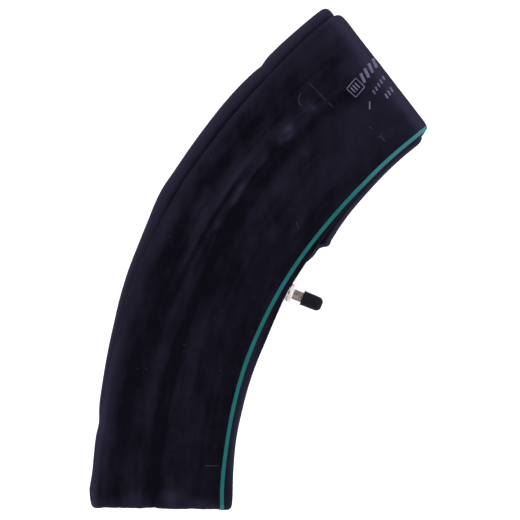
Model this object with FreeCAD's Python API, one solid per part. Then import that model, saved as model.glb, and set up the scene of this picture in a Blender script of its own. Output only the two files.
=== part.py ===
import FreeCAD, Part
import math
import os

# A rubber inner tube, deflated and folded in four for packing, with its metal valve.
#
# The tube is one endless ring of thin-walled rubber, pressed flat. It is folded in half
# and then in half again, so four flat layers lie on each other along a curved band:
# layers 1 and 2 are the upper pair, 3 and 4 the lower pair. Each pair is joined by a
# small fold at the far end. At the near end, layer 1 wraps around to layer 4 in a wide
# fold, and layer 2 to layer 3 in a narrow fold inside it.
#
# Frame, in millimetres: +Z up from the surface it lies on, +Y from the near folds to the
# far ones, +X to the side that the band curves towards. The origin is the middle of the
# underside.

# ---- the flattened tube ----
lay_width = 101.0            # across one flat layer
lay_thickness = 6.0          # through one flat layer
wall = 1.8                   # rubber wall
level_mid = [25.0, 18.5, 9.5, 3.0]   # mid height of layers 1 to 4

# ---- the curved band: (bend radius of the mid line, degrees turned) for each arc ----
upper_path = [(373.0, 53.6)]
lower_path = [(491.5, 15.0), (326.0, 38.6)]
near_fold = FreeCAD.Vector(-67.479, -167.196, 0.0)   # mid line at the near folds

# ---- the coloured stripe let into the rubber ----
stripe_width = 2.8
stripe_depth = 0.5
stripe_offset = -45.0        # from the mid line, negative towards the inside of the bend

# ---- the valve, measured outwards from the tube's inner crease ----
valve_heading = 22.2         # degrees round the lower path where it stands
saddle_thickness = 1.6
saddle_half_turn = 4.6       # degrees each side of the valve
boss_radius_base = 5.6
boss_radius_top = 4.9
boss_height = 11.8
foot_radius = 4.6            # flange at the stem's root, buried in the boss
foot_bottom = 1.9
foot_top = 3.1
air_hole_radius = 1.6

stem_radius = 3.87
thread_pitch = 25.4 / 32.0
thread_depth = 0.45
thread_start = 13.0
stem_tip = 34.3
stem_chamfer = 0.5
air_bore_radius = 1.5
chamber_bottom = 16.5
chamber_radius = 2.2
cone_bottom = 26.2
cone_top = 27.2
core_thread_radius = 2.65

washer_radius = 6.2
washer_thickness = 1.2
running_gap = 0.08           # radial, between the thread crests and a nut or cap
nut_across_flats = 13.0
nut_thickness = 3.6
nut_chamfer_angle = 30.0

# ---- the valve core ----
plug_bottom = 29.4
plug_top = 33.8
plug_radius = 2.55
plug_bore = 0.95
plug_slot_depth = 1.6
plug_tang_width = 1.5
barrel_bottom = 20.6
barrel_top = 29.1
barrel_radius = 1.8
barrel_bore = 1.3
barrel_floor = 0.8
barrel_roof = 0.8
gasket_bottom = 26.3
gasket_top = 28.2
gasket_radius_low = 2.15
gasket_radius_high = 2.6
pin_radius = 0.5
pin_hole_radius = 0.58
pin_bottom = 18.4
pin_top = 33.9
pin_collar_radius = 1.0
pin_collar_bottom = 27.0
pin_collar_height = 0.6
cup_bottom = 18.6
cup_top = 19.9
cup_radius = 1.75
cup_wall = 0.25
seal_top = 20.3
spring_wire = 0.26
spring_radius = 0.92
spring_coils = 7

# ---- the dust cap ----
cap_mouth = 23.7
cap_length = 15.2
cap_radius = 5.3
cap_skirt_radius = 5.45
cap_skirt_height = 1.0
cap_shoulder_radius = 3.8
cap_crown = 2.6
cap_seal_thickness = 1.3
cap_seal_bore = 1.4
mouth_chamfer = 0.5

UP = FreeCAD.Vector(0.0, 0.0, 1.0)
ORIGIN = FreeCAD.Vector(0.0, 0.0, 0.0)


# ---- directions along the band ----

def inward(heading):
    a = math.radians(heading)
    return FreeCAD.Vector(math.cos(a), -math.sin(a), 0.0)


def walk(path):
    """The mid line's arcs as (start, heading, radius, turn), then its end with no turn."""
    point = near_fold
    heading = 0.0
    steps = []
    for radius, turn in path:
        steps.append((point, heading, radius, turn))
        centre = point + inward(heading) * radius
        heading += turn
        point = centre - inward(heading) * radius
    steps.append((point, heading, 0.0, 0.0))
    return steps


def placed(shape, x_axis, y_axis, origin):
    """The shape moved so that its own axes lie along these, its origin at this point."""
    z_axis = x_axis.cross(y_axis)
    place = FreeCAD.Placement(FreeCAD.Matrix(
        x_axis.x, y_axis.x, z_axis.x, origin.x,
        x_axis.y, y_axis.y, z_axis.y, origin.y,
        x_axis.z, y_axis.z, z_axis.z, origin.z,
        0.0, 0.0, 0.0, 1.0))
    moved = shape.copy()
    moved.Placement = place.multiply(moved.Placement)
    return moved


# ---- cross sections: first axis outwards across the band, second out of the outer face ----

def stadium(width, thickness):
    r = thickness / 2.0
    half = width / 2.0 - r
    corners = [(-half, -r), (half, -r), (half, r), (-half, r)]
    a, b, c, d = [FreeCAD.Vector(x, y, 0.0) for x, y in corners]
    right = Part.Arc(b, FreeCAD.Vector(half + r, 0.0, 0.0), c).toShape()
    left = Part.Arc(d, FreeCAD.Vector(-half - r, 0.0, 0.0), a).toShape()
    edges = [Part.makeLine(a, b), right, Part.makeLine(c, d), left]
    return Part.Face(Part.Wire(edges))


def box_section(x0, x1, y0, y1):
    corners = [(x0, y0), (x1, y0), (x1, y1), (x0, y1), (x0, y0)]
    return Part.Face(Part.makePolygon([FreeCAD.Vector(x, y, 0.0) for x, y in corners]))


def placed_section(section, point, heading, height, face_up):
    out_of_face = UP if face_up else UP * -1.0
    origin = FreeCAD.Vector(point.x, point.y, height)
    across = inward(heading) * -1.0
    return placed(section, across, out_of_face, origin)


def sweep_arc(section, step, height, face_up):
    point, heading, radius, turn = step
    start = placed_section(section, point, heading, height, face_up)
    centre = point + inward(heading) * radius
    return start.revolve(centre, UP * -1.0, turn)


def end_fold(section, step, high, low, face_up, far):
    """Half a turn about a level line across the band, from the higher layer to the lower."""
    point, heading = step[0], step[1]
    start = placed_section(section, point, heading, high, face_up)
    hinge = FreeCAD.Vector(point.x, point.y, (high + low) / 2.0)
    axis = inward(heading) * (-1.0 if far else 1.0)
    return start.revolve(hinge, axis, 180.0)


def endless_run(section):
    """The section carried once round the whole folded ring."""
    one, two, three, four = level_mid
    upper = walk(upper_path)
    lower = walk(lower_path)
    pieces = []
    for path, height, face_up in (
            (upper, one, True), (upper, two, False), (lower, three, True), (lower, four, False)):
        for step in path[:-1]:
            pieces.append(sweep_arc(section, step, height, face_up))
    pieces.append(end_fold(section, upper[-1], one, two, True, True))
    pieces.append(end_fold(section, lower[-1], three, four, True, True))
    pieces.append(end_fold(section, upper[0], one, four, True, False))
    pieces.append(end_fold(section, upper[0], two, three, False, False))
    return pieces[0].multiFuse(pieces[1:]).removeSplitter()


# ---- turned pieces: built round +Z from the crease, then set in place ----

def turned(profile):
    """A solid of revolution from its closed outline of (radius, distance) points."""
    points = [FreeCAD.Vector(r, 0.0, d) for r, d in profile]
    outline = Part.Face(Part.makePolygon(points + points[:1]))
    return outline.revolve(ORIGIN, UP, 360.0)


def rod(radius, bottom, top):
    return Part.makeCylinder(radius, top - bottom, FreeCAD.Vector(0.0, 0.0, bottom))


def ring(outer, inner, bottom, top):
    return rod(outer, bottom, top).cut(rod(inner, bottom - 1.0, top + 1.0))


def at_valve(shape):
    start, heading, radius, turn = walk(lower_path)[1]
    centre = start + inward(heading) * radius
    crease = centre - inward(valve_heading) * (radius - lay_width / 2.0)
    origin = FreeCAD.Vector(crease.x, crease.y, level_mid[2])
    return placed(shape, UP, inward(valve_heading).cross(UP), origin)


def solid_of(shape):
    return shape.Solids[0]


def rubber_tube(outside):
    hollow = endless_run(stadium(lay_width - 2.0 * wall, lay_thickness - 2.0 * wall))
    air_hole = at_valve(rod(air_hole_radius, -lay_thickness, 0.6))
    return outside.cut([hollow, stripe(), air_hole])


def stripe():
    half = stripe_width / 2.0
    face = lay_thickness / 2.0
    section = box_section(stripe_offset - half, stripe_offset + half, face - stripe_depth, face)
    return endless_run(section)


def valve_base(outside):
    start, heading, radius, turn = walk(lower_path)[1]
    edge = -lay_width / 2.0
    half = lay_thickness / 2.0
    strip = box_section(edge - saddle_thickness, edge + half, -half, half)
    centre = start + inward(heading) * radius
    first = valve_heading - saddle_half_turn
    point = centre - inward(first) * radius
    saddle = sweep_arc(strip, (point, first, radius, 2.0 * saddle_half_turn), level_mid[2], True)
    boss = turned([(0.0, 0.2), (boss_radius_base, 0.2), (boss_radius_top, boss_height),
                   (0.0, boss_height)])
    inside = rod(air_hole_radius, -1.0, foot_bottom)
    inside = inside.fuse(rod(foot_radius, foot_bottom, foot_top))
    inside = inside.fuse(rod(stem_radius, foot_top, boss_height + 1.0))
    return saddle.fuse(at_valve(boss)).cut([outside, at_valve(inside)])


def valve_stem():
    """Foot, threaded shank and the stepped bore that holds the core."""
    root = stem_radius - thread_depth
    profile = [(0.0, foot_bottom), (foot_radius, foot_bottom), (foot_radius, foot_top),
               (stem_radius, foot_top)]
    turns = int((stem_tip - stem_chamfer - thread_start) / thread_pitch)
    for i in range(turns):
        groove = thread_start + i * thread_pitch
        profile.append((stem_radius, groove))
        profile.append((root, groove + 0.42 * thread_pitch))
        profile.append((root, groove + 0.50 * thread_pitch))
        profile.append((stem_radius, groove + 0.92 * thread_pitch))
    profile += [(stem_radius, stem_tip - stem_chamfer),
                (stem_radius - stem_chamfer, stem_tip), (0.0, stem_tip)]
    bore = turned([(0.0, 0.0), (air_bore_radius, 0.0), (air_bore_radius, chamber_bottom),
                   (chamber_radius, chamber_bottom), (chamber_radius, cone_bottom),
                   (core_thread_radius, cone_top), (core_thread_radius, stem_tip + 1.0),
                   (0.0, stem_tip + 1.0)])
    return turned(profile).cut(bore)


def base_washer():
    return ring(washer_radius, stem_radius + running_gap, boss_height,
                boss_height + washer_thickness)


def rim_nut():
    """Hexagon nut, one corner uppermost, its outer face chamfered all round."""
    bottom = boss_height + washer_thickness
    top = bottom + nut_thickness
    corner = nut_across_flats / math.sqrt(3.0)
    angles = [math.radians(60.0 * i) for i in range(7)]
    points = [FreeCAD.Vector(corner * math.cos(a), corner * math.sin(a), bottom) for a in angles]
    prism = Part.Face(Part.makePolygon(points)).extrude(UP * nut_thickness)
    flat = nut_across_flats / 2.0
    drop = (corner - flat + 0.2) * math.tan(math.radians(nut_chamfer_angle))
    limit = turned([(0.0, bottom), (corner + 0.01, bottom), (corner + 0.01, top - drop),
                    (flat - 0.2, top), (0.0, top)])
    hole = stem_radius + running_gap
    bore = turned([(0.0, bottom - 1.0), (hole, bottom - 1.0), (hole, top - mouth_chamfer),
                   (hole + mouth_chamfer, top), (hole + mouth_chamfer, top + 1.0),
                   (0.0, top + 1.0)])
    return prism.common(limit).cut(bore)


def core_plug():
    """Threaded plug: the slots at its top leave a tang on each side for the core key."""
    body = ring(plug_radius, plug_bore, plug_bottom, plug_top)
    slots = []
    for side in (-1.0, 1.0):
        corner = FreeCAD.Vector(-plug_radius, side * plug_radius, plug_top - plug_slot_depth)
        if side > 0.0:
            corner.y = plug_tang_width / 2.0
        reach = plug_radius - plug_tang_width / 2.0
        slots.append(Part.makeBox(2.0 * plug_radius, reach, plug_slot_depth + 1.0, corner))
    return body.cut(slots)


def core_barrel():
    body = rod(barrel_radius, barrel_bottom, barrel_top)
    room = rod(barrel_bore, barrel_bottom + barrel_floor, barrel_top - barrel_roof)
    passage = rod(pin_hole_radius, barrel_bottom - 1.0, barrel_top + 1.0)
    return body.cut([room, passage])


def barrel_gasket():
    return turned([(barrel_radius, gasket_bottom), (gasket_radius_low, gasket_bottom),
                   (gasket_radius_high, cone_top + 0.1), (gasket_radius_high, gasket_top),
                   (barrel_radius, gasket_top)])


def core_pin():
    shaft = rod(pin_radius, pin_bottom, pin_top)
    collar = rod(pin_collar_radius, pin_collar_bottom, pin_collar_bottom + pin_collar_height)
    return shaft.fuse(collar).removeSplitter()


def plunger_cup():
    """Shallow cup crimped on the pin's lower end; it carries the seal."""
    body = ring(cup_radius, pin_radius, cup_bottom, cup_top)
    return body.cut(rod(cup_radius - cup_wall, cup_bottom + cup_wall, cup_top + 1.0))


def cup_seal():
    return ring(cup_radius - cup_wall, pin_radius, cup_bottom + cup_wall, seal_top)


def core_spring():
    bottom = barrel_bottom + barrel_floor + spring_wire / 2.0 + 0.02
    top = pin_collar_bottom - spring_wire / 2.0 - 0.02
    path = Part.makeHelix((top - bottom) / spring_coils, top - bottom, spring_radius)
    path.translate(FreeCAD.Vector(0.0, 0.0, bottom))
    start = FreeCAD.Vector(spring_radius, 0.0, bottom)
    wire = Part.Wire(Part.makeCircle(spring_wire / 2.0, start, FreeCAD.Vector(0.0, 1.0, 0.0)))
    return Part.Wire(path).makePipeShell([wire], True, True)


def cap_shell():
    tip = cap_mouth + cap_length
    skirt_top = cap_mouth + cap_skirt_height
    body = turned([(0.0, cap_mouth), (cap_skirt_radius, cap_mouth),
                   (cap_skirt_radius, skirt_top - 0.3), (cap_radius, skirt_top),
                   (cap_radius - 0.1, tip), (0.0, tip)])
    rim = [e for e in body.Edges if e.BoundBox.ZMin > tip - 0.01]
    body = body.makeFillet(cap_shoulder_radius, rim)
    hole = stem_radius + running_gap
    room = turned([(0.0, cap_mouth - 1.0), (hole + mouth_chamfer, cap_mouth - 1.0),
                   (hole + mouth_chamfer, cap_mouth), (hole, cap_mouth + mouth_chamfer),
                   (hole, tip - cap_crown), (0.0, tip - cap_crown)])
    return body.cut(room)


def cap_seal():
    top = cap_mouth + cap_length - cap_crown - 0.1
    return ring(stem_radius, cap_seal_bore, top - cap_seal_thickness, top)


def main():
    os.makedirs("parts", exist_ok=True)
    outside = endless_run(stadium(lay_width, lay_thickness))
    nodes = {
        "tube_carcass": rubber_tube(outside),
        "green_stripe": stripe(),
        "valve_base_patch": valve_base(outside),
        "valve_stem": at_valve(valve_stem()),
        "base_washer": at_valve(base_washer()),
        "rim_nut": at_valve(rim_nut()),
        "core_plug": at_valve(core_plug()),
        "core_barrel": at_valve(core_barrel()),
        "barrel_gasket": at_valve(barrel_gasket()),
        "core_pin": at_valve(core_pin()),
        "plunger_cup": at_valve(plunger_cup()),
        "cup_seal": at_valve(cup_seal()),
        "core_spring": at_valve(core_spring()),
        "cap_shell": at_valve(cap_shell()),
        "cap_seal": at_valve(cap_seal()),
    }
    for name, shape in nodes.items():
        solid_of(shape).exportStep("parts/" + name + ".step")


main()
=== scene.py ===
import math

import bmesh
import bpy
import numpy as np
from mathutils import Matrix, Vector


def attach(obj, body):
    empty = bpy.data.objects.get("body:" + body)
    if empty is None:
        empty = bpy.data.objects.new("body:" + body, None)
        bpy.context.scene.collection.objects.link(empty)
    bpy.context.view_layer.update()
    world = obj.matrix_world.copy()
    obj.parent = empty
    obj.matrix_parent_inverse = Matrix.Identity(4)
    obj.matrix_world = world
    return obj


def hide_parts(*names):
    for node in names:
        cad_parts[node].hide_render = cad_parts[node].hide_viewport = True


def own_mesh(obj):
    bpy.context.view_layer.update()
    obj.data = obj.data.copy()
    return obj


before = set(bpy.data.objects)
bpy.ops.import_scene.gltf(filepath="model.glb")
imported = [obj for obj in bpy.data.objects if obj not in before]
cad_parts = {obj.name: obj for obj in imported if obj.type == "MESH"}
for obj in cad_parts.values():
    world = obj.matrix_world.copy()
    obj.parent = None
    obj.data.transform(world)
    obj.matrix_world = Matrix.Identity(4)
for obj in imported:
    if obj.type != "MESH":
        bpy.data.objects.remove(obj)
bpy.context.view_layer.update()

# A deflated inner tube, folded into four layers and lying flat. The rubber skin is one closed ring,
# built from cross-sections that follow the fold round. Sizes below are millimetres unless they say
# otherwise, in the CAD frame: +Y is the longest side, +Z up, the floor at z = 0.

MM = 0.001

# ---------------------------------------------------------------- the band that the layers follow
# A place on the band is (share, offset): share runs 0 to 1 from the near end to the far end round
# the base arc, and offset is the distance outwards from that arc.
ARC_CENTRE = (305.521, -167.196)
ARC_RADIUS = 373.0
ARC_TURN = math.radians(53.6)
ARC_MM = ARC_RADIUS * ARC_TURN

LAYER_MID = {1: 25.0, 2: 18.5, 3: 9.5, 4: 3.0}       # mid height of each layer at the near end
TOP_PAIR_SAG = 2.2                                    # how far layers 1 and 2 sink at the far end
FAR_SHARE = {"top": 0.998, "low": 0.979}              # where the far folds have their axis
NEAR_REACH = 0.95                                     # the outer near fold is pressed a little flat

BEAD = 3.0                                            # half thickness at a layer's creased edge
MIDDLE = 2.45                                         # half thickness in its middle
BEAD_SPREAD = 6.0                                     # how quickly the bead thins to the middle
RELIEF_SETTLE = 4.0                                   # relief fades out this near to a bead
CORNER_PULL = 2.6                                     # how far a fold's corners are rounded back
CORNER_POWER = 14                                     # how late the rounding starts
FAR_SKEW, NEAR_SKEW = 0.022, 0.014                    # slant of the ends across the band
LOW_FAR_LEAD, NEAR_LAG = 1.3, 0.4                     # shifts of the low far end and the near end

# Creased edges of each layer: (share, offset) along the band.
TOP_OUTER = [
    (0.0, 51.2), (0.06, 49.9), (0.1, 49.0), (0.12, 48.4), (0.15, 48.7), (0.2, 48.7), (0.25, 48.7),
    (0.3, 49.1), (0.35, 49.7), (0.4, 49.9), (0.45, 49.4), (0.5, 49.1), (0.56, 48.9), (0.6, 48.8),
    (0.65, 48.1), (0.7, 47.9), (0.8, 47.7), (0.85, 47.9), (0.92, 49.2), (1.0, 50.1),
]
TOP_INNER = [
    (0.0, -48.8), (0.07, -49.0), (0.128, -49.3), (0.185, -50.3), (0.244, -51.2), (0.3, -52.3),
    (0.365, -53.9), (0.43, -54.4), (0.5, -54.5), (0.54, -55.4), (0.575, -56.0), (0.63, -56.6),
    (0.68, -56.8), (0.73, -57.0), (0.8, -57.0), (1.0, -56.7),
]
LOW_OUTER = [
    (0.0, 54.4), (0.03, 52.7), (0.06, 52.1), (0.1, 51.4), (0.12, 50.4), (0.15, 51.6), (0.2, 52.2),
    (0.25, 53.0), (0.3, 53.9), (0.35, 55.4), (0.4, 56.5), (0.45, 57.1), (0.5, 58.3), (0.53, 59.5),
    (0.556, 60.1), (0.6, 59.2), (0.65, 58.9), (0.7, 58.8), (0.75, 58.9), (0.8, 58.5), (0.83, 57.7),
    (0.841, 57.1), (0.853, 58.2), (0.88, 58.8), (0.92, 59.0), (1.0, 59.5),
]
LOW_INNER = [
    (0.0, -48.2), (0.15, -46.0), (0.3, -43.8), (0.4, -42.5), (0.492, -42.2), (0.53, -46.0),
    (0.56, -52.5), (0.58, -56.3), (0.6, -58.2), (0.63, -60.0), (0.638, -62.6), (0.66, -62.6),
    (0.7, -61.8), (0.75, -61.3), (0.8, -61.1), (0.85, -60.7), (0.9, -60.3), (1.0, -60.2),
]
STRIPE_LINE = [
    (-0.04, -40.6), (0.0, -41.0), (0.1, -42.7), (0.2, -43.8), (0.3, -45.1), (0.4, -47.1),
    (0.5, -49.1), (0.6, -51.3), (0.7, -53.3), (0.8, -54.5), (0.9, -55.4), (1.0, -54.0),
]
MID_CREASE = [
    (-0.034, 9.0), (0.042, 6.6), (0.11, 3.4), (0.186, 1.8), (0.27, 1.6), (0.354, 2.4), (0.43, 4.6),
    (0.505, 6.8), (0.57, 9.2), (0.639, 9.8), (0.72, 9.6), (0.789, 10.1), (0.888, 10.1), (1.0, 9.0),
]
SHADE_LINE = [                                        # a wide dark streak beside the middle crease
    (-0.04, 7.5), (0.05, 7.4), (0.15, 7.0), (0.22, 6.8), (0.29, 5.2), (0.35, 3.4), (0.5, 3.2),
    (0.63, 3.4), (0.70, 1.8), (0.76, 0.2), (0.85, 1.0), (1.0, 1.5),
]
CREASE_WANDER = 0.6                                   # how far the crease strays from its line

STRIPE_WIDTH = 2.8
STRIPE_PROUD = 0.22
STRIPE_SKIN = 0.03                                    # least rise of the strip over the rubber
STRIPE_DEPTH = 0.5                                    # how deep the strip is let in
STRIPE_MARGIN = 2.4                                   # its middle keeps this far from the edge

# ---------------------------------------------------------------- the valve, along its own axis
# A place on the valve is (distance from its foot, radius).
VALVE_FOOT = Vector((9.0829, -20.2663, 9.5))          # where the axis leaves the crease of layer 3
VALVE_AXIS = Vector((0.92587, -0.37784, 0.0))

STEM_FOOT, FLANGE_TOP, FLANGE_RADIUS = 1.9, 3.1, 4.6
STEM_RADIUS, THREAD_PITCH, THREAD_DEPTH = 3.87, 25.4 / 32.0, 0.45
THREAD_START, STEM_TIP = 13.0, 34.3
AIR_BORE, AIR_BORE_TOP = 1.5, 16.5                    # bores of the stem, from the foot up
SEAT_BORE, SEAT_TOP = 2.2, 26.2
CORE_BORE, CORE_BORE_FOOT, CORE_MOUTH = 2.65, 27.2, 2.85
PATCH_FOOT, PATCH_BORE = 0.3, 1.6
BOSS_TOP, WASHER_TOP, NUT_TOP = 11.8, 13.0, 16.6
WASHER_RADIUS, WASHER_EDGE = 6.2, 0.18
NUT_FLAT, NUT_OUTSIDE = 6.5, 9.0                      # half the width across flats, past a corner
HOLE = STEM_RADIUS + 0.08                             # hole of nut, washer and cap over the stem
CAP_MOUTH, CAP_TIP, CAP_CROWN = 23.7, 38.9, 2.6
CAP_SKIRT, CAP_BODY, CAP_END, CAP_SHOULDER = 5.45, 5.3, 5.2, 3.8
SPRING_FOOT, SPRING_LOW, SPRING_HIGH, COLLAR_BOTTOM = 21.4, 21.55, 26.85, 27.0
SPRING_RADIUS, SPRING_WIRE, SPRING_COILS = 0.92, 0.26, 7
CREASE_ANGLE = math.radians(38)                       # sharper edges than this stay sharp
WELD_METRES = 1e-7

# ---------------------------------------------------------------- small tools


def through(points, share):
    """A smooth line through a table's (share, value) points, read at any shares."""
    x = np.array([p[0] for p in points])
    y = np.array([p[1] for p in points])
    slope = np.gradient(y, x)
    share = np.clip(share, x[0], x[-1])
    i = np.clip(np.searchsorted(x, share) - 1, 0, len(x) - 2)
    step = x[i + 1] - x[i]
    f = (share - x[i]) / step
    return (
        (1 + 2 * f) * (1 - f) ** 2 * y[i]
        + f * (1 - f) ** 2 * step * slope[i]
        + f * f * (3 - 2 * f) * y[i + 1]
        + f * f * (f - 1) * step * slope[i + 1]
    )


def ease(low, high, x):
    """0 below low, 1 above high, and a smooth turn between."""
    f = np.clip((x - low) / (high - low), 0, 1)
    return f * f * (3 - 2 * f)


def bump(x, middle, width):
    """A soft hill, 1 at its middle."""
    return np.exp(-(((x - middle) / width) ** 2))


class Ripple:
    """Seeded, smooth unevenness over (share, offset): random heights on a grid, eased between."""

    LENGTH, WIDTH, SPARE = 700, 260, 8                # extent of the grids, and spare cells
    FIRST_SHARE, FIRST_OFFSET = -0.3, -110.0          # the place where they start
    SLANT = 0.25                                      # how far each row is set over from the last
    FINENESS, WEIGHT = (1.0, 2.0), (0.75, 0.35)       # one coarse grid and one fine

    def __init__(self, seed, along, across):
        self.along, self.across = along, across
        rng = np.random.RandomState(seed)
        self.grids = []
        for fine in self.FINENESS:
            rows = int(self.LENGTH / along * fine) + self.SPARE
            columns = int(self.WIDTH / across * fine) + self.SPARE
            self.grids.append(rng.uniform(-1, 1, (rows, columns)))

    def __call__(self, share, offset):
        share, offset = np.broadcast_arrays(share, offset)
        total = np.zeros(share.shape)
        for grid, fine, weight in zip(self.grids, self.FINENESS, self.WEIGHT):
            x = (share - self.FIRST_SHARE) * ARC_MM / self.along * fine
            y = (offset - self.FIRST_OFFSET + self.SLANT * x * self.across) / self.across * fine
            i, k = np.floor(x).astype(int), np.floor(y).astype(int)
            fx, fy = ease(0, 1, x - i), ease(0, 1, y - k)
            i, k = i % (grid.shape[0] - 1), k % (grid.shape[1] - 1)
            total += weight * (
                (grid[i, k] * (1 - fx) + grid[i + 1, k] * fx) * (1 - fy)
                + (grid[i, k + 1] * (1 - fx) + grid[i + 1, k + 1] * fx) * fy
            )
        return total


def on_band(share, offset):
    """x and y of a place on the band."""
    turn = share * ARC_TURN
    reach = ARC_RADIUS + offset
    return ARC_CENTRE[0] - reach * np.cos(turn), ARC_CENTRE[1] + reach * np.sin(turn)


def mesh_piece(name, points_mm, faces, smooth=True):
    """A mesh object in metres from points in millimetres."""
    mesh = bpy.data.meshes.new(name)
    mesh.from_pydata([tuple(p) for p in np.asarray(points_mm, float) * MM], [], faces)
    mesh.validate()
    mesh.update()
    mesh.polygons.foreach_set("use_smooth", [smooth] * len(mesh.polygons))
    made = bpy.data.objects.new(name, mesh)
    bpy.context.scene.collection.objects.link(made)
    return made


def loft_faces(rows, columns, close_rows=True, close_columns=True):
    """Quads over a grid of points, wrapped round in either direction."""
    faces = []
    for i in range(rows if close_rows else rows - 1):
        a, b = i * columns, ((i + 1) % rows) * columns
        for k in range(columns if close_columns else columns - 1):
            n = (k + 1) % columns
            faces.append((a + k, a + n, b + n, b + k))
    return faces


# ---------------------------------------------------------------- the ring, section by section
# One entry for each cross-section: the two layers it joins and how far it is from one to the
# other, its share of the band, and how its middle line and its outward side lie in the plane of
# (along the band, up).

FINE_STEP, PLAIN_STEP = 1.5, 3.0                      # spacing of sections, layer 1 and the others
LAYER_3_STEP = PLAIN_STEP * 0.6
FAR_TURNS, NEAR_TURNS, NEAR_OUTER_TURNS = 16, 20, 28  # sections round each fold
SAG_FROM, SAG_TO = 0.58, 0.97                         # where the top pair sinks


def top_sag(share):
    return TOP_PAIR_SAG * ease(SAG_FROM, SAG_TO, share)


def layer_height(layer, share):
    return LAYER_MID[layer] - (top_sag(share) if layer < 3 else 0.0)


def flat_run(layer, start, stop, step):
    """Sections of one flat layer. Its outward side faces up in layers 1 and 3, down in 2 and 4."""
    count = int(abs(stop - start) * ARC_MM / step)
    side = 1.0 if layer in (1, 3) else -1.0
    run = []
    for share in np.linspace(start, stop, count, endpoint=False):
        run.append((layer, layer, 0.0, share, 0.0, layer_height(layer, share), 0.0, side))
    return run


def fold_run(first, second, share, direction, count, flatten):
    """Sections round a fold between two layers. direction is 1 at the far end, -1 at the near."""
    z_first, z_second = layer_height(first, share), layer_height(second, share)
    middle, radius = (z_first + z_second) / 2, (z_first - z_second) / 2
    side = 1.0 if first in (1, 3) else -1.0
    run = []
    for turn in np.linspace(0, math.pi, count, endpoint=False):
        along = direction * abs(radius) * flatten * math.sin(turn)
        height = middle + radius * math.cos(turn)
        outward_along = direction * math.sin(turn) * (1.0 if side * radius > 0 else -1.0)
        outward_up = side * math.cos(turn)
        run.append((first, second, turn / math.pi, share, along, height, outward_along, outward_up))
    return run


stations = (
    flat_run(1, 0.0, FAR_SHARE["top"], FINE_STEP)
    + fold_run(1, 2, FAR_SHARE["top"], 1, FAR_TURNS, 1.0)
    + flat_run(2, FAR_SHARE["top"], 0.0, PLAIN_STEP)
    + fold_run(2, 3, 0.0, -1, NEAR_TURNS, 1.0)
    + flat_run(3, 0.0, FAR_SHARE["low"], LAYER_3_STEP)
    + fold_run(3, 4, FAR_SHARE["low"], 1, FAR_TURNS, 1.0)
    + flat_run(4, FAR_SHARE["low"], 0.0, PLAIN_STEP)
    + fold_run(4, 1, 0.0, -1, NEAR_OUTER_TURNS, NEAR_REACH)
)
first_layer = np.array([s[0] for s in stations])
second_layer = np.array([s[1] for s in stations])
mix = ease(0.0, 1.0, np.array([s[2] for s in stations]))
share = np.array([s[3] for s in stations])
along = np.array([s[4] for s in stations])
height = np.array([s[5] for s in stations])
out_along = np.array([s[6] for s in stations])
out_up = np.array([s[7] for s in stations])

top_outer, top_inner = through(TOP_OUTER, share), through(TOP_INNER, share)
low_outer, low_inner = through(LOW_OUTER, share), through(LOW_INNER, share)
layer_2_tuck = 0.8 + 1.9 * ease(0.48, 0.62, share)   # layer 2 lies further in past the valve
edges = {
    1: (top_outer, top_inner),
    2: (top_outer - 0.9, top_inner + layer_2_tuck),
    3: (low_outer - 0.5, low_inner),
    4: (low_outer, low_inner + 1.2),
}
outer_edge = np.zeros(len(stations))
inner_edge = np.zeros(len(stations))
for layer, (outer, inner) in edges.items():
    weight = (first_layer == layer) * (1 - mix) + (second_layer == layer) * mix
    outer_edge += weight * outer
    inner_edge += weight * inner
on_top = (first_layer == 1) * (1 - mix) + (second_layer == 1) * mix      # 1 on the top layer
on_top = np.maximum(on_top, ((first_layer == 4) & (second_layer == 1)) * 1.0)
folding = np.sin(np.array([s[2] for s in stations]) * math.pi)

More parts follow.
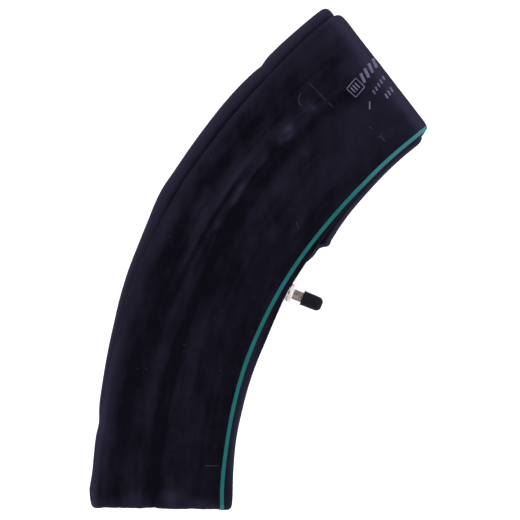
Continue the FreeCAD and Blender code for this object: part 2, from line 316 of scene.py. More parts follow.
# ---------------------------------------------------------------- talc bloom, painted light and painted shade on the top face
# Soft pale or dark patches, partly talc and partly painted light and shade on the face's lobes,
# trough, edges and ends: (share, offset, half length mm, half width mm, strength).
TALC_AND_LIGHT_PATCHES = [
    (0.654, 23.0, 13, 3.5, 0.20), (0.60, 21.5, 9, 3.5, 0.20), (0.545, 25.5, 16, 3.5, 0.30),
    (0.575, 31.0, 12, 3, 0.25), (0.48, 15.5, 16, 3.0, 0.22), (0.42, 12.5, 13, 3.0, 0.18),
    (0.264, 15.0, 9, 4.5, 0.28), (0.785, 11.5, 9, 6, 0.45), (0.845, 12.0, 6, 6, 0.35),
    (0.70, 18.0, 9, 4.5, 0.18), (0.63, 11.5, 8, 2.2, 0.45), (0.655, 20.0, 16, 2.2, 0.30),
    (0.853, 9.7, 2.2, 2.0, 0.85), (0.789, 11.3, 3.2, 1.8, 1.10), (0.780, 7.3, 3.4, 1.6, 0.80),
    (0.761, 9.7, 3, 1.6, 0.60), (0.641, 12.0, 3.4, 1.5, 0.50), (0.611, 10.8, 4.2, 1.6, 0.55),
    (0.707, 10.9, 5, 2.6, 0.35), (0.551, 12.3, 4.2, 1.6, 0.50), (0.525, 23.0, 15, 2.2, 0.35),
    (0.515, 44.0, 16, 3.5, 0.35), (0.775, -7.8, 3, 4, 0.25), (0.686, -10.3, 12, 5, 0.30),
    (0.596, -23.1, 7, 4, 0.25), (0.644, -36.5, 8, 4, 0.25), (0.57, -12.0, 14, 5, 0.10),
    (0.73, -30.0, 26, 9, 0.12), (0.36, 45.0, 60, 2.6, 0.25), (0.24, 44.5, 50, 4.5, 0.30),
    (0.11, 44.0, 40, 6, 0.35), (0.75, 45.0, 60, 2.5, 0.20), (0.92, 38.0, 26, 10, 0.12),
    (0.98, 8.0, 14, 20, 0.25), (1.01, 24.0, 9, 30, 0.35), (1.01, -30.0, 9, 22, 0.45),
    (0.927, -39.0, 8, 4, 0.30), (0.86, -31.0, 30, 12, 0.16), (0.90, -12.0, 20, 8, 0.16),
    (0.93, -22.0, 9, 7, 0.10), (-0.010, -5.0, 4.5, 8, 0.75), (-0.015, 22.0, 5, 6, 0.45),
    (-0.022, -26.0, 4, 10, 0.35), (0.02, -4.0, 10, 8, 0.15), (0.30, -6.0, 26, 4, 0.18),
    (0.20, -8.0, 30, 6, 0.14), (0.345, -12.0, 20, 6, 0.10), (0.17, 16.0, 20, 4, 0.22),
    (0.05, -46.5, 40, 3, 0.40), (0.2, -47.5, 50, 2.5, 0.45), (0.35, -50.0, 40, 2.5, 0.40),
    (0.13, -22.0, 30, 8, 0.10), (0.861, 31.0, 13, 8, -0.22), (0.741, 30.6, 12, 8, -0.26),
    (0.744, 12.0, 5, 5, -0.20), (0.658, 33.7, 13, 7, -0.24), (0.597, 36.9, 9, 6, -0.18),
    (0.481, 35.0, 18, 6, -0.20), (0.40, 31.0, 26, 6, -0.12), (0.123, 31.0, 28, 9, -0.16),
    (0.23, 31.0, 26, 6, -0.14), (0.80, 22.0, 8, 5, -0.25), (0.93, -6.0, 8, 7, -0.20),
    (0.985, -36.0, 7, 5, -0.15), (0.94, 22.0, 12, 5, -0.12), (0.70, -42.0, 30, 5, -0.12),
]


def patches(share, offset, narrow=None):
    """The sum of the soft patches at a place. narrow keeps only pale ones no wider than it."""
    total = np.zeros(np.broadcast(share, offset).shape)
    for at, out, length, width, strength in TALC_AND_LIGHT_PATCHES:
        if narrow is None or (width <= narrow and strength > 0):
            reach = ((share - at) * ARC_MM / length) ** 2 + ((offset - out) / width) ** 2
            total = total + strength * np.exp(-reach)
    return total


def talc_and_light(share, offset):
    """How pale the top face is, 0 to 1: talc patches and cloudy tone, rising towards the far end,
    with painted highlights along its edges and over the folded ends, and painted shade along the
    middle crease, the streak beside it and the trough near the outer edge.
    """
    ground = 0.13 + 0.08 * ease(0.45, 0.92, share)
    outer_half = 0.45 + 0.55 * ease(-6.0, 14.0, offset)      # the inner half lies plainer
    cloudy = (0.05 * lumps_short(share, offset) + 0.05 * lumps_fine(share, offset)) * outer_half
    streaky = bump(offset, 21.0, 12.0) * bump(share, 0.59, 0.17)
    cloudy = cloudy * (1 - 0.5 * streaky) + (0.05 + 0.17 * streaky) * streaks(share, offset)
    # painted shade: darker along the middle crease, fading out towards the far end
    crease_shade = 0.12 * bump(from_crease(share, offset), 0.0, 1.1) * ease(0.94, 0.86, share)
    from_shade = offset - through(SHADE_LINE, share) - 0.8 * crease_wander(share, 0.0)
    shade = 0.10 * bump(from_shade, 0.0, 4.6)
    from_fold = offset - through(TOP_OUTER, share)           # the outer edge, with a painted highlight along it
    # painted highlight: a light line along the outer edge, a lighter lobe just inside it, and a
    # light line along the inner edge in the near half
    rim = (0.20 + 0.35 * ease(0.35, 0.1, share)) * ease(-5.0, -1.0, from_fold)
    rim = rim + 0.08 * bump(from_fold, -8.5, 3.0) * ease(0.3, 0.45, share)
    inner_rim_highlight = 0.70 * ease(3.0, 0.5, offset - through(TOP_INNER, share)) * bump(share, 0.17, 0.15)
    # painted highlight over the far fold, rising from share 0.93, and a little over the near end
    end = 0.12 * ease(0.93, 0.99, share) + ease(0.978, 1.022, share)
    end = end + 0.12 * ease(0.0, -0.03, share)
    # talc patches together with painted light and shade, less the painted crease shade and the
    # painted shade streak
    marks = 0.55 * patches(share, offset) - crease_shade - shade
    return np.clip(ground + cloudy + marks + rim + inner_rim_highlight + end, 0.0, 1.3)


def edge_light_and_tone(i, offsets):
    """Paleness of the parts away from the top face: a plain tone with cloudy unevenness, and
    painted light along each layer's outer and inner edges and over the far fold.
    """
    # painted light: paler along each layer's outer edge and inner edge, much less on the top layer
    painted_edge_light = 1.35 * ease(outer_edge[i] - 12.0, outer_edge[i] - 1.5, offsets)
    painted_edge_light = painted_edge_light + 1.9 * ease(inner_edge[i] + 4.5, inner_edge[i], offsets)
    painted_edge_light = painted_edge_light * (1 - 0.8 * on_top[i])
    # painted highlight over the far fold
    far_fold_highlight = folding[i] * (share[i] > 0.5)
    cloudy = 0.10 * lumps_short(share[i], offsets)
    return np.clip(0.16 + 0.9 * painted_edge_light + 0.35 * far_fold_highlight + cloudy, 0.0, 1.6)


lumps_long = Ripple(11, 70.0, 24.0)
lumps_short = Ripple(23, 34.0, 11.0)
lumps_fine = Ripple(37, 14.0, 6.0)
streaks = Ripple(41, 46.0, 3.0)
crease_wander = Ripple(5, 30.0, 500.0)


def from_crease(share, offset):
    """Distance outwards from the crease down the middle of the top face."""
    return offset - through(MID_CREASE, share) - CREASE_WANDER * crease_wander(share, 0.0)


def top_relief(share, offset):
    """Height of creases and soft lumps on the top layer's upper face."""
    crease = from_crease(share, offset)
    groove = -0.65 * bump(crease, 0.0, 1.2) * ease(0.97, 0.86, share)
    groove = groove - 0.30 * bump(crease, 3.6, 3.0) * ease(0.72, 0.3, share)
    inner_bank = 0.25 * bump(crease, -5.0, 4.5)
    outer_fold = offset - through(TOP_OUTER, share)
    edge_groove = -0.18 * bump(outer_fold, -7.0, 2.2) + 0.20 * bump(outer_fold, -12.5, 4.0)
    soft = 0.40 * lumps_long(share, offset) + 0.18 * lumps_short(share, offset)
    soft = soft * (0.35 + 0.65 * ease(-18.0, 12.0, offset))
    pucker = 0.40 * lumps_fine(share, offset) * ease(0.06, -0.02, share)
    raised = 0.40 * patches(share, offset, narrow=8.0)
    return groove + inner_bank + raised + edge_groove + soft + pucker


def hidden_relief(layer, share, offset):
    """Gentle unevenness of the layers below; layer 3 also dips under the top pair's outer edge."""
    dip = -0.3 * (layer == 3) * bump(offset, through(TOP_OUTER, share) - 1.0, 2.4)
    soft = dip + 0.14 * lumps_long(share + layer * 0.37, offset)
    return soft + 0.06 * lumps_short(share, offset + 9.0 * layer)


def breadth(i):
    """The centre and half width of section i."""
    return (outer_edge[i] + inner_edge[i]) / 2, (outer_edge[i] - inner_edge[i]) / 2


def half_thickness(i, offset):
    """Half thickness of section i before relief, and each place's distance from a bead."""
    centre, half_width = breadth(i)
    from_bead = np.maximum(half_width - BEAD - np.abs(offset - centre), 0.0)
    return MIDDLE + (BEAD - MIDDLE) * np.exp(-((from_bead / BEAD_SPREAD) ** 2)), from_bead


def outward_height(i, offset):
    """How far section i's outward face stands from its middle line."""
    thick, from_bead = half_thickness(i, offset)
    settle = 1 - np.exp(-((from_bead / RELIEF_SETTLE) ** 2))
    top = top_relief(share[i], offset) * on_top[i]
    below = hidden_relief(first_layer[i], share[i], offset) * (1 - on_top[i])
    return thick + (top + below) * settle


def end_shift(i, offset):
    """How far an end is pushed along the band: ends lie a little askew, with round corners."""
    centre, half_width = breadth(i)
    from_centre = np.abs(offset - centre) / half_width
    corner = CORNER_PULL * from_centre ** CORNER_POWER
    if max(first_layer[i], second_layer[i]) < 3:
        skew = -(offset - centre) * FAR_SKEW
    else:
        skew = LOW_FAR_LEAD + (offset - centre) * FAR_SKEW
    near_skew = (offset - centre) * NEAR_SKEW - NEAR_LAG
    far = ease(FAR_SHARE["low"] - 0.09, FAR_SHARE["low"], share[i])
    near = ease(0.05, 0.0, share[i])
    return far * (skew - corner) + near * (near_skew + 0.3 * corner)


def place(i, offset, outward):
    """Points of section i at these offsets and distances to its outward side."""
    x, y = on_band(share[i], offset)
    turn = share[i] * ARC_TURN
    ahead = along[i] + out_along[i] * outward + end_shift(i, offset)
    z = height[i] + out_up[i] * outward
    return np.stack([x + math.sin(turn) * ahead, y + math.cos(turn) * ahead, z], 1)


OUT_COUNT, IN_COUNT, BEAD_COUNT = 104, 34, 11         # points on a section's faces and beads


def section(i):
    """Offsets and outward distances round one flattened cross-section."""
    outer, inner = outer_edge[i] - BEAD, inner_edge[i] + BEAD
    arc = np.linspace(-math.pi / 2, math.pi / 2, BEAD_COUNT + 2)[1:-1]
    across = np.linspace(outer, inner, OUT_COUNT)
    back = np.linspace(inner, outer, IN_COUNT)
    back_height = half_thickness(i, back)[0]
    bead_out, bead_up = BEAD * np.cos(arc), BEAD * np.sin(arc)
    offsets = np.concatenate([outer + bead_out, across, inner - bead_out, back])
    outward = np.concatenate([bead_up, outward_height(i, across), -bead_up, -back_height])
    return offsets, outward


def with_talc_and_light(piece, amounts):
    """Stores how pale each point is, talc and painted light together, for the materials to read."""
    field = piece.data.attributes.new("talc_and_light", "FLOAT", "POINT")
    field.data.foreach_set("value", np.concatenate(amounts).astype(np.float32))
    return piece


def build_skin():
    points, dust_and_light = [], []
    for i in range(len(stations)):
        offsets, outward = section(i)
        points.append(place(i, offsets, outward))
        upper = on_top[i] * (outward > 0)
        seen_share = share[i] + along[i] / ARC_MM
        # talc and painted light and shade on the top face, painted edge light and plain tone on the
        # rest
        dust_and_light.append(talc_and_light(seen_share, offsets) * upper + edge_light_and_tone(i, offsets) * (1 - upper))
    faces = loft_faces(len(stations), len(dust_and_light[0]))
    return with_talc_and_light(mesh_piece("tube_skin", np.concatenate(points), faces), dust_and_light)


def build_stripe():
    """The coloured strip: a thin band of rubber let into the outward face all round the ring."""
    profile = np.array([-1.0, -0.86, -0.4, 0.0, 0.4, 0.86, 1.0])
    rise = np.array([0.0, 0.75, 1.0, 1.0, 1.0, 0.75, 0.0]) * STRIPE_PROUD + STRIPE_SKIN
    half = STRIPE_WIDTH / 2
    points, stripe_highlight = [], []
    for i in range(len(stations)):
        line = max(through(STRIPE_LINE, share[i]), inner_edge[i] + STRIPE_MARGIN)
        wide = half * (1 + 0.05 * lumps_fine(share[i], 0.0))
        offsets = line - profile * wide
        upper = outward_height(i, offsets) + rise
        buried = outward_height(i, offsets[::-1]) - STRIPE_DEPTH
        loop = np.concatenate([offsets, offsets[::-1]])
        points.append(place(i, loop, np.concatenate([upper, buried])))
        # painted highlight: the strip is paler towards the far end and where it bends over the far
        # fold
        pale = 0.17 * ease(0.74, 0.90, share[i])
        pale = pale + 0.25 * ease(0.96, 1.02, share[i] + along[i] / ARC_MM) + 0.03
        stripe_highlight.append(np.full(len(loop), pale * on_top[i]))
    faces = loft_faces(len(stations), len(stripe_highlight[0]))
    return with_talc_and_light(mesh_piece("stripe_band", np.concatenate(points), faces), stripe_highlight)


# ---------------------------------------------------------------- marks printed on the top face


def top_surface(share_at, offset_at):
    """Points on the top layer's upper face, at these shares and offsets."""
    points = []
    on_layer_1 = (first_layer == 1) & (second_layer == 1)
    for s, o in zip(share_at, offset_at):
        i = int(np.argmin(np.where(on_layer_1, np.abs(share - s), np.inf)))
        x, y = on_band(s, o)
        points.append((x, y, height[i] + outward_height(i, np.array([o]))[0]))
    return np.array(points)


PRINT_RISE = 0.10
RIBBON_ROOT, RIBBON_STEP = -0.2, 0.7                  # a ribbon's underside, its points' spacing


def ribbon(path, width, rise=PRINT_RISE):
    """A thin raised ribbon along (share, offset) points on the top face, as points and faces."""
    path = np.array(path, float)
    flat = np.stack([path[:, 0] * ARC_MM, path[:, 1]], 1)
    length = np.r_[0, np.cumsum(np.linalg.norm(np.diff(flat, axis=0), axis=1))]
    steps = max(int(length[-1] / RIBBON_STEP), 2)
    where = np.linspace(0, length[-1], steps + 1)
    line = np.stack([np.interp(where, length, flat[:, k]) for k in (0, 1)], 1)
    ahead = np.gradient(line, axis=0)
    ahead /= np.linalg.norm(ahead, axis=1)[:, None]
    side = np.stack([-ahead[:, 1], ahead[:, 0]], 1) * width / 2
    left, right = line + side, line - side
    rows = []
    for edge, lift in ((left, RIBBON_ROOT), (left, rise), (right, rise), (right, RIBBON_ROOT)):
        ring = top_surface(edge[:, 0] / ARC_MM, edge[:, 1])
        ring[:, 2] += lift
        rows.append(ring)
    points = np.stack(rows, 1).reshape(-1, 3)
    faces = loft_faces(steps + 1, 4, close_rows=False)
    faces += [(3, 2, 1, 0), tuple(4 * steps + k for k in range(4))]
    return points, faces


def joined(name, parts):
    """One piece from several sets of points and faces."""
    points, faces, base = [], [], 0
    for p, f in parts:
        points.append(p)
        faces += [tuple(base + v for v in face) for face in f]
        base += len(p)
    return mesh_piece(name, np.concatenate(points), faces)


def build_print():
    """Plain generic marks where a tube carries its print: bars, blocks and dashes, no lettering."""
    parts = []
    for k in range(4):                                 # a row of slanting blocks
        start = 0.966 + 0.0125 * k
        parts.append(ribbon([(start, -1.6 + 1.1 * k), (start + 0.0045, 5.6 + 1.1 * k)], 2.3))
    for k in range(5):                                 # a row of short dashes
        start = 0.968 + 0.0085 * k
        parts.append(ribbon([(start, -12.6 + 1.0 * k), (start + 0.001, -9.4 + 1.0 * k)], 1.3))
    for k in range(3):                                 # and a second row
        start = 0.984 + 0.0085 * k
        parts.append(ribbon([(start, -20.6 + 0.8 * k), (start + 0.001, -16.6 + 0.8 * k)], 1.4))
    corners = [(0.932, -5.6), (0.960, -3.9), (0.957, 5.0), (0.929, 3.3), (0.932, -5.6)]
    for a, b in zip(corners, corners[1:]):             # a plain frame with three bars in it
        parts.append(ribbon([a, b], 0.7))
    for k in range(3):
        start = 0.938 + 0.0065 * k
        parts.append(ribbon([(start, -2.8 + 0.3 * k), (start - 0.0015, 2.2 + 0.3 * k)], 1.0))
    parts.append(ribbon([(0.938, -18.6), (0.949, -14.2)], 1.1))
    return joined("print_marks", parts)


def build_scuffs():
    """Pale scratches, specks of dust and the joint line across the rubber."""
    parts = [
        ribbon([(0.881, 24.1), (0.8815, 14.0), (0.882, 7.0)], 0.45, 0.06),
        ribbon([(0.8825, 4.5), (0.883, -0.1)], 0.4, 0.06),
        ribbon([(0.857, 23.0), (0.846, 21.5), (0.839, 18.0), (0.841, 15.3)], 0.5, 0.06),
        ribbon([(0.913, -27.5), (0.915, -30.5)], 0.7, 0.06),
        ribbon([(0.921, -36.5), (0.918, -41.0), (0.919, -43.5)], 0.6, 0.06),
        ribbon([(0.911, -37.5), (0.919, -39.0)], 0.5, 0.06),
        ribbon([(0.056, -29.0), (0.0575, -38.0)], 0.5, 0.06),
        ribbon([(0.645, -34.0), (0.635, -38.5)], 0.4, 0.05),
    ]
    specks = [
        (0.651, 41.4), (0.488, 38.3), (0.609, 21.3), (0.302, 0.9), (0.236, 22.1), (0.234, 28.5),
        (0.27, -29.0),
    ]
    for at, out in specks:
        parts.append(ribbon([(at, out), (at + 0.0018, out + 0.35)], 0.6, 0.08))
    return joined("scuff_marks", parts)


# ---------------------------------------------------------------- the valve's pieces
UP = Vector((0, 0, 1))
axis_side = VALVE_AXIS.cross(UP).normalized()


def at_valve(points):
    """Points given as (distance along the axis, sideways, up) moved to the valve."""
    return [VALVE_FOOT + VALVE_AXIS * p[0] + axis_side * p[1] + UP * p[2] for p in points]


def lathe(name, profile, around=96, shape=None):
    """A turned piece from an outline of (distance, radius) points, which is closed when it is bored
    right through, or else starts and ends on the axis. shape may change each radius."""
    distance = np.array([p[0] for p in profile])[:, None]
    radius = np.array([p[1] for p in profile])[:, None]
    angle = np.linspace(0, 2 * math.pi, around, endpoint=False)[None, :]
    if shape:
        radius = shape(distance, radius, angle)
    distance, radius, angle = np.broadcast_arrays(distance, radius, angle)
    rows = np.stack([distance, radius * np.cos(angle), radius * np.sin(angle)], 2).reshape(-1, 3)
    bored = profile[0][1] > 0
    made = mesh_piece(name, at_valve(rows), loft_faces(len(profile), around, close_rows=bored))
    shell = bmesh.new()
    shell.from_mesh(made.data)
    bmesh.ops.remove_doubles(shell, verts=shell.verts, dist=WELD_METRES)
    bmesh.ops.recalc_face_normals(shell, faces=shell.faces)
    shell.to_mesh(made.data)
    shell.free()
    made.data.set_sharp_from_angle(angle=CREASE_ANGLE)
    return made


def build_stem():
    """Plated stem: flange in the boss, one continuous helical thread, stepped bore for the core."""
    def thread(distance, radius, angle):
        outside = (radius > STEM_RADIUS - 0.001) & (radius < STEM_RADIUS + 0.001)
        turn = (distance / THREAD_PITCH - angle / (2 * math.pi)) % 1.0
        valley = np.clip(1.25 - np.abs(turn - 0.5) * 3.2, 0.0, 1.0)
        depth = THREAD_DEPTH * ease(THREAD_START, THREAD_START + 0.8, distance)
        depth = depth * ease(STEM_TIP - 0.35, STEM_TIP - 0.9, distance)
        return radius - outside * valley * depth

    lead_in = STEM_TIP - 0.5
    outline = [
        (STEM_FOOT, AIR_BORE), (STEM_FOOT, FLANGE_RADIUS), (FLANGE_TOP, FLANGE_RADIUS),
        (FLANGE_TOP, STEM_RADIUS),
    ]
    outline += [(d, STEM_RADIUS) for d in np.arange(THREAD_START, lead_in, THREAD_PITCH / 10)]
    outline += [
        (lead_in, STEM_RADIUS), (STEM_TIP - 0.12, STEM_RADIUS - 0.42),
        (STEM_TIP, STEM_RADIUS - 0.6), (STEM_TIP, CORE_MOUTH), (STEM_TIP - 0.15, CORE_BORE),
        (CORE_BORE_FOOT, CORE_BORE), (SEAT_TOP, SEAT_BORE), (AIR_BORE_TOP, SEAT_BORE),
        (AIR_BORE_TOP, AIR_BORE),
    ]
    return lathe("stem_threaded", outline, 72, thread)


def build_nut():
    """Hexagon nut with rounded chamfers."""
    def hexagon(distance, radius, angle):
        facing = np.abs((angle % (math.pi / 3)) - math.pi / 6)
        across = NUT_FLAT / np.cos(math.pi / 6 - facing)
        inward = np.minimum(distance - WASHER_TOP, NUT_TOP - distance)
        chamfer = NUT_FLAT - 0.25 + inward * 1.75
        return np.where(radius > 5.0, np.minimum(across, chamfer), radius)

    steps = (0.0, 0.08, 0.2, 0.35, 0.5, 0.7, 1.2)
    outline = [(WASHER_TOP, HOLE + 0.4), (WASHER_TOP, 6.0)]
    outline += [(WASHER_TOP + d, NUT_OUTSIDE) for d in steps]
    outline += [(NUT_TOP - d, NUT_OUTSIDE) for d in reversed(steps)]
    outline += [(NUT_TOP, 6.0), (NUT_TOP, HOLE + 0.5), (NUT_TOP - 0.5, HOLE)]
    outline += [(WASHER_TOP + 0.4, HOLE)]
    return lathe("nut_hexagon", outline, 144, hexagon)


def build_washer():
    low, high, rim, soft = BOSS_TOP, WASHER_TOP, WASHER_RADIUS, WASHER_EDGE
    outline = [
        (low, HOLE), (low, rim - soft), (low + 0.05, rim - 0.05), (low + soft, rim),
        (high - soft, rim), (high - 0.05, rim - 0.05), (high, rim - soft), (high, HOLE),
    ]
    return lathe("washer_plain", outline, 96)


def build_cap():
    """Moulded dust cap: a small skirt, a hint of draft, a round shoulder and fine ripples."""
    roof, skirt_top, draft_length = CAP_TIP - CAP_CROWN, 1.05, 10.2
    outline = [(roof, 0), (roof, HOLE), (CAP_MOUTH + 0.5, HOLE), (CAP_MOUTH, HOLE + 0.5)]
    skirt = [
        (0.0, 5.3), (0.04, 5.4), (0.15, CAP_SKIRT), (0.75, CAP_SKIRT), (0.9, 5.38),
        (skirt_top, CAP_BODY),
    ]
    outline += [(CAP_MOUTH + d, radius) for d, radius in skirt]
    for d in np.linspace(1.6, 11.2, 12):
        outline.append((CAP_MOUTH + d, CAP_BODY - 0.1 * (d - skirt_top) / draft_length))
    for f in np.linspace(0.08, 1.0, 14) * math.pi / 2:
        back, inward = CAP_SHOULDER * (1 - math.sin(f)), CAP_SHOULDER * (1 - math.cos(f))
        outline.append((CAP_TIP - back, CAP_END - inward))
    outline += [(CAP_TIP - 0.03, 1.1), (CAP_TIP - 0.1, 0.9), (CAP_TIP - 0.1, 0)]   # gate mark

    def ripples(distance, radius, angle):
        side = (radius > 5.0) & (distance > CAP_MOUTH + 1.2) & (distance < CAP_TIP - 4.0)
        return radius + side * 0.012 * np.cos(angle * 36.0)

    return lathe("cap_moulded", outline, 144, ripples)


def build_patch():
    """Moulded rubber base: a boss that flares into the patch bonded over the crease."""
    outline = [
        (PATCH_FOOT, PATCH_BORE), (PATCH_FOOT, 5.9), (0.5, 7.6), (0.9, 8.1), (1.4, 7.6), (1.9, 6.6),
        (2.6, 5.95), (3.6, 5.55),
    ]
    outline += [(d, 5.6 - 0.7 * d / BOSS_TOP) for d in (5.0, 7.0, 9.0, 10.6)]
    outline += [
        (BOSS_TOP - 0.5, 4.95), (BOSS_TOP - 0.15, 4.85), (BOSS_TOP, 4.6), (BOSS_TOP, STEM_RADIUS),
        (FLANGE_TOP, STEM_RADIUS), (FLANGE_TOP, FLANGE_RADIUS), (STEM_FOOT, FLANGE_RADIUS),
        (STEM_FOOT, PATCH_BORE),
    ]

    def flatten(distance, radius, angle):
        reach = ease(4.0, 1.2, distance) * (radius > 5.0)
        long = 1.0 + 1.3 * reach * np.cos(angle) ** 2
        short = 1.0 - 0.22 * reach * np.sin(angle) ** 2
        return radius * long * short

    return lathe("valve_boss", outline, 96, flatten)


def build_spring():
    """Coil spring round the needle: a wire wound from the barrel's floor to the needle's collar."""
    steps, around, wire = SPRING_COILS * 24, 8, SPRING_WIRE / 2
    rise = SPRING_HIGH - SPRING_LOW
    slope = math.atan2(rise, 2 * math.pi * SPRING_COILS * SPRING_RADIUS)
    points = []
    for f in np.linspace(0, 1, steps + 1):
        turn = 2 * math.pi * SPRING_COILS * f
        for a in np.linspace(0, 2 * math.pi, around, endpoint=False):
            outward = SPRING_RADIUS + math.cos(a) * wire
            lift, back = math.sin(a) * math.cos(slope), math.sin(a) * math.sin(slope)
            distance = SPRING_LOW + rise * f + lift * wire
            late = turn - back * wire / SPRING_RADIUS
            points.append((distance, outward * math.cos(late), outward * math.sin(late)))
    faces = loft_faces(steps + 1, around, close_rows=False)
    faces += [tuple(range(around))[::-1], tuple(steps * around + k for k in range(around))]
    return mesh_piece("spring_wound", at_valve(points), faces)


# ---------------------------------------------------------------- materials


def linear(r, g, b):
    """sRGB 0-255 as a linear colour."""
    def one(v):
        v /= 255.0
        return v / 12.92 if v <= 0.04045 else ((v + 0.055) / 1.055) ** 2.4
    return (one(r), one(g), one(b), 1.0)


class Look:
    """A procedural material, built node by node."""

    def __init__(self, name):
        self.material = bpy.data.materials.new(name)
        self.material.use_nodes = True
        self.nodes = self.material.node_tree.nodes
        self.links = self.material.node_tree.links
        self.shader = self.nodes["Principled BSDF"]
        self.where = self.nodes.new("ShaderNodeTexCoord").outputs["Object"]

    def noise(self, scale, detail=4.0, rough=0.55, stretch=None):
        tex = self.nodes.new("ShaderNodeTexNoise")
        tex.inputs["Scale"].default_value = scale
        tex.inputs["Detail"].default_value = detail
        tex.inputs["Roughness"].default_value = rough
        source = self.where
        if stretch:
            mapping = self.nodes.new("ShaderNodeMapping")
            mapping.inputs["Scale"].default_value = stretch[0]
            mapping.inputs["Rotation"].default_value = stretch[1]
            self.links.new(source, mapping.inputs["Vector"])
            source = mapping.outputs["Vector"]
        self.links.new(source, tex.inputs["Vector"])
        return tex.outputs["Fac"]

    def span(self, value, low, high, to_low=0.0, to_high=1.0):
        node = self.nodes.new("ShaderNodeMapRange")
        node.inputs["From Min"].default_value = low
        node.inputs["From Max"].default_value = high
        node.inputs["To Min"].default_value = to_low
        node.inputs["To Max"].default_value = to_high
        self.links.new(value, node.inputs["Value"])
        return node.outputs["Result"]

    def maths(self, kind, a, b):
        node = self.nodes.new("ShaderNodeMath")
        node.operation = kind
        for socket, value in zip(node.inputs, (a, b)):
            if isinstance(value, (int, float)):
                socket.default_value = value
            else:
                self.links.new(value, socket)
        return node.outputs["Value"]

    def blend(self, factor, first, second):
        node = self.nodes.new("ShaderNodeMix")
        node.data_type = "RGBA"
        self.links.new(factor, node.inputs["Factor"])
        for socket, value in ((node.inputs["A"], first), (node.inputs["B"], second)):
            if isinstance(value, tuple):
                socket.default_value = value
            else:
                self.links.new(value, socket)
        return node.outputs["Result"]

    def attribute(self, name):
        node = self.nodes.new("ShaderNodeAttribute")
        node.attribute_name = name
        return node.outputs["Fac"]

    def bumps(self, *layers):
        """Bump layers of (value, depth in millimetres), each laid on the one before."""
        normal = None
        for value, depth in layers:
            node = self.nodes.new("ShaderNodeBump")
            node.inputs["Distance"].default_value = depth * MM
            self.links.new(value, node.inputs["Height"])
            if normal:
                self.links.new(normal, node.inputs["Normal"])
            normal = node.outputs["Normal"]
        self.links.new(normal, self.shader.inputs["Normal"])

    def feed(self, socket, value):
        self.links.new(value, self.shader.inputs[socket])

    def fixed(self, **values):
        for name, value in values.items():
            self.shader.inputs[name.replace("_", " ")].default_value = value


def rubber_look(name, dark, pale, talc):
    """Matt black rubber with talc bloom, painted light and painted shade: pale where the point
    attribute or cloudy noise says.
    """
    look = Look(name)
    clouds = look.noise(34.0, 5.0, 0.6)
    smears = look.noise(120.0, 4.0, 0.6, ((1.0, 0.28, 1.0), (0.0, 0.0, -0.45)))
    mottle = look.noise(150.0, 6.0, 0.72)
    grain = look.noise(1500.0, 3.0, 0.6)
    dust_and_light = look.noise(5200.0, 2.0, 0.5)
    base = look.attribute("talc_and_light")
    amount = look.maths("ADD", base, look.span(clouds, 0.3, 0.7, -0.05, 0.05))
    amount = look.maths("ADD", amount, look.span(smears, 0.35, 0.65, -0.05, 0.05))
    amount = look.maths("ADD", amount, look.span(mottle, 0.3, 0.7, -0.04, 0.04))
    tone = look.blend(look.span(amount, 0.05, 1.25, 0.0, 1.3), dark, pale)
    tone = look.blend(look.span(dust_and_light, 0.60, 0.78, 0.0, 0.16), tone, talc)
    look.feed("Base Color", tone)
    look.feed("Roughness", look.span(look.maths("ADD", clouds, grain), 0.6, 1.4, 0.40, 0.60))
    look.bumps((grain, 0.05), (smears, 0.10))
    look.fixed(Specular_IOR_Level=0.003, Sheen_Weight=0.03, Sheen_Roughness=0.25)
    look.fixed(Sheen_Tint=linear(190, 180, 225))
    return look.material


def stripe_look(name, deep, fresh, highlight_colour):
    """Coloured rubber, with a painted highlight where it bends over the far end."""
    look = Look(name)
    clouds = look.noise(160.0, 4.0, 0.6)
    grain = look.noise(2600.0, 3.0, 0.6)
    tone = look.blend(look.span(look.maths("ADD", clouds, grain), 0.7, 1.3), deep, fresh)
    look.feed("Base Color", look.blend(look.attribute("talc_and_light"), tone, highlight_colour))
    look.feed("Roughness", look.span(clouds, 0.3, 0.7, 0.42, 0.6))
    look.bumps((grain, 0.03))
    look.fixed(Specular_IOR_Level=0.08)
    return look.material


def plain_rubber_look(name, colour, worn, rough=(0.45, 0.65), specular=0.25):
    """Rubber, plastic or ink of one colour, a little worn."""
    look = Look(name)
    clouds = look.noise(160.0, 4.0, 0.6)
    grain = look.noise(2600.0, 3.0, 0.6)
    tone = look.span(look.maths("ADD", clouds, grain), 0.7, 1.3)
    look.feed("Base Color", look.blend(tone, colour, worn))
    look.feed("Roughness", look.span(clouds, 0.3, 0.7, *rough))
    look.bumps((grain, 0.03))
    look.fixed(Specular_IOR_Level=specular)
    return look.material


def metal_look(name, colour, tarnish, rough=(0.22, 0.42)):
    """Lightly brushed metal with cloudy tarnish."""
    look = Look(name)
    clouds = look.noise(420.0, 5.0, 0.65)
    brushing = look.noise(2400.0, 3.0, 0.6, ((1.0, 6.0, 6.0), (0.0, 0.0, -0.3875)))
    look.feed("Base Color", look.blend(look.span(clouds, 0.42, 0.72), colour, tarnish))
    look.feed("Roughness", look.span(look.maths("ADD", clouds, brushing), 0.7, 1.3, *rough))
    look.bumps((brushing, 0.0015), (clouds, 0.003))
    look.fixed(Metallic=1.0)
    return look.material


def dress(piece, material, body, slot_name, *nodes):
    """Gives a piece its material and body, and hides the CAD nodes that it stands for. slot_name is
    not used.
    """
    piece.data.materials.append(material)
    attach(piece, body)
    if nodes:
        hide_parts(*nodes)


# the pale colour serves both talc bloom and painted light
rubber = rubber_look("rubber_talc_and_light", linear(7, 6.5, 12), linear(34, 32, 47), linear(58, 55, 76))
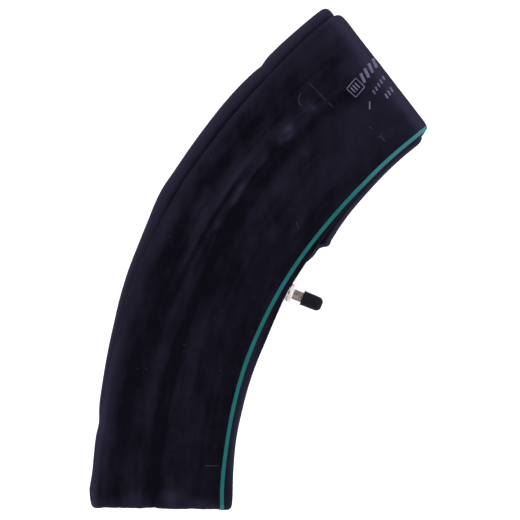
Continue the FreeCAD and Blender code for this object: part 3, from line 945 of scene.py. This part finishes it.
# the last colour is the strip's painted highlight over the far end
stripe_rubber = stripe_look(
    "rubber_green", linear(5, 67, 65), linear(9, 78, 78), linear(80, 132, 142))
print_ink = plain_rubber_look(
    "print_pale", linear(86, 83, 110), linear(44, 42, 60), (0.5, 0.7), 0.3)
scuff_tone = plain_rubber_look(
    "scuff_pale", linear(37, 35, 47), linear(22, 21, 30), (0.6, 0.8), 0.2)
patch_rubber = plain_rubber_look(
    "rubber_patch", linear(11, 10, 17), linear(20, 18, 27), specular=0.02)
seal_rubber = plain_rubber_look("rubber_seal", linear(28, 27, 30), linear(46, 44, 48))
cap_plastic = plain_rubber_look(
    "plastic_cap", linear(9, 7, 15), linear(16, 14, 25), (0.42, 0.55), 0.06)
nickel = metal_look("nickel", linear(176, 167, 165), linear(118, 106, 100), (0.30, 0.48))
steel = metal_look("steel", linear(228, 218, 221), linear(196, 186, 186), (0.34, 0.50))
brass = metal_look("brass", linear(205, 170, 105), linear(160, 120, 70))
spring_steel = metal_look(
    "spring_wire", linear(175, 172, 170), linear(120, 115, 110), (0.2, 0.35))

dress(build_skin(), rubber, "tube", "tube_rubber", "tube_carcass")
dress(build_stripe(), stripe_rubber, "tube", "stripe_rubber", "green_stripe")
dress(build_print(), print_ink, "tube", "tube_rubber")
dress(build_scuffs(), scuff_tone, "tube", "tube_rubber")

dress(build_patch(), patch_rubber, "tube", "patch_rubber", "valve_base_patch")
dress(build_stem(), nickel, "tube", "nickelled_brass", "valve_stem")
dress(build_washer(), steel, "washer", "plated_steel", "base_washer")
dress(build_nut(), steel, "nut", "plated_steel", "rim_nut")
dress(build_cap(), cap_plastic, "cap", "cap_plastic", "cap_shell")

spring = build_spring()
dress(spring, spring_steel, "tube", "spring_steel", "core_spring")
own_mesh(spring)

CAD_LOOKS = {                                         # pieces that keep their CAD shape
    "core_plug": brass, "core_barrel": brass, "barrel_gasket": seal_rubber, "core_pin": brass,
    "plunger_cup": brass, "cup_seal": seal_rubber, "cap_seal": seal_rubber,
}
for node, material in CAD_LOOKS.items():
    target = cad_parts[node]
    if not target.material_slots:
        target.data.materials.append(None)
    for slot in target.material_slots:
        slot.material = material

# ---------------------------------------------------------------- floor, light and camera
# In metres, except CAMERA_OVER.
FLOOR_SIZE, FLOOR_POINTS, FLOOR_DROP = 8.0, 9, 0.0002
FLOOR_DULL, FLOOR_BRIGHT = (0.90, 0.90, 0.90, 1), (0.93, 0.93, 0.93, 1)
WHITE = (1.0, 1.0, 1.0, 1.0)
WORLD_STRENGTH = 0.75
LIGHT_ELEVATION = math.radians(36)
LIGHTS = [(35, 1.0), (125, 0.9), (215, 0.9), (305, 1.15)]      # heading in degrees, strength
LIGHT_DISTANCE, LIGHT_WIDTH, LIGHT_POWER = 1.7, 1.4, 17.0
CAMERA_OVER = (0.70, -2.2)                            # mm, the point it looks straight down at
TOP_FACE = 0.028
CAMERA_HEIGHT = 4.0                                   # above the top face
VIEW_WIDTH = 0.3713                                   # across the picture, at the top face
SENSOR_WIDTH, VIEW_DEPTH = 36.0, 50.0


def build_floor():
    """A softly lit white table top."""
    grid = np.linspace(-FLOOR_SIZE / 2, FLOOR_SIZE / 2, FLOOR_POINTS) / MM
    points = [(x, y, 0.0) for x in grid for y in grid]
    floor = mesh_piece("floor", points, loft_faces(FLOOR_POINTS, FLOOR_POINTS, False, False))
    floor.data.flip_normals()
    look = Look("floor_white")
    cloud = look.span(look.noise(3.0), 0.3, 0.7)
    look.feed("Base Color", look.blend(cloud, FLOOR_DULL, FLOOR_BRIGHT))
    look.fixed(Roughness=0.9, Specular_IOR_Level=0.1, Emission_Strength=0.35)
    look.fixed(Emission_Color=WHITE)
    floor.data.materials.append(look.material)
    floor.location.z = -FLOOR_DROP


def build_lights():
    """Four soft boxes round the object, and a pale sky."""
    for k, (heading, strength) in enumerate(LIGHTS):
        a, e = math.radians(heading), LIGHT_ELEVATION
        back = Vector((math.cos(a) * math.cos(e), math.sin(a) * math.cos(e), math.sin(e)))
        data = bpy.data.lights.new(f"softbox_{k}", "AREA")
        data.shape = "SQUARE"
        data.size = LIGHT_WIDTH
        data.energy = LIGHT_POWER * strength
        lamp = bpy.data.objects.new(f"softbox_{k}", data)
        lamp.location = back * LIGHT_DISTANCE
        lamp.rotation_mode = "QUATERNION"
        lamp.rotation_quaternion = back.to_track_quat("Z", "Y")
        bpy.context.scene.collection.objects.link(lamp)
    world = bpy.data.worlds.new("studio")
    world.use_nodes = True
    sky = world.node_tree.nodes["Background"].inputs
    sky["Color"].default_value = WHITE
    sky["Strength"].default_value = WORLD_STRENGTH
    bpy.context.scene.world = world


def build_camera():
    """A long lens that looks straight down."""
    data = bpy.data.cameras.new("camera")
    data.sensor_width = SENSOR_WIDTH
    data.lens = CAMERA_HEIGHT * SENSOR_WIDTH / VIEW_WIDTH
    data.clip_end = VIEW_DEPTH
    camera = bpy.data.objects.new("camera", data)
    camera.location = (CAMERA_OVER[0] * MM, CAMERA_OVER[1] * MM, CAMERA_HEIGHT + TOP_FACE)
    bpy.context.scene.collection.objects.link(camera)
    bpy.context.scene.camera = camera


build_floor()
build_lights()
build_camera()
bpy.context.scene.view_settings.view_transform = "Standard"
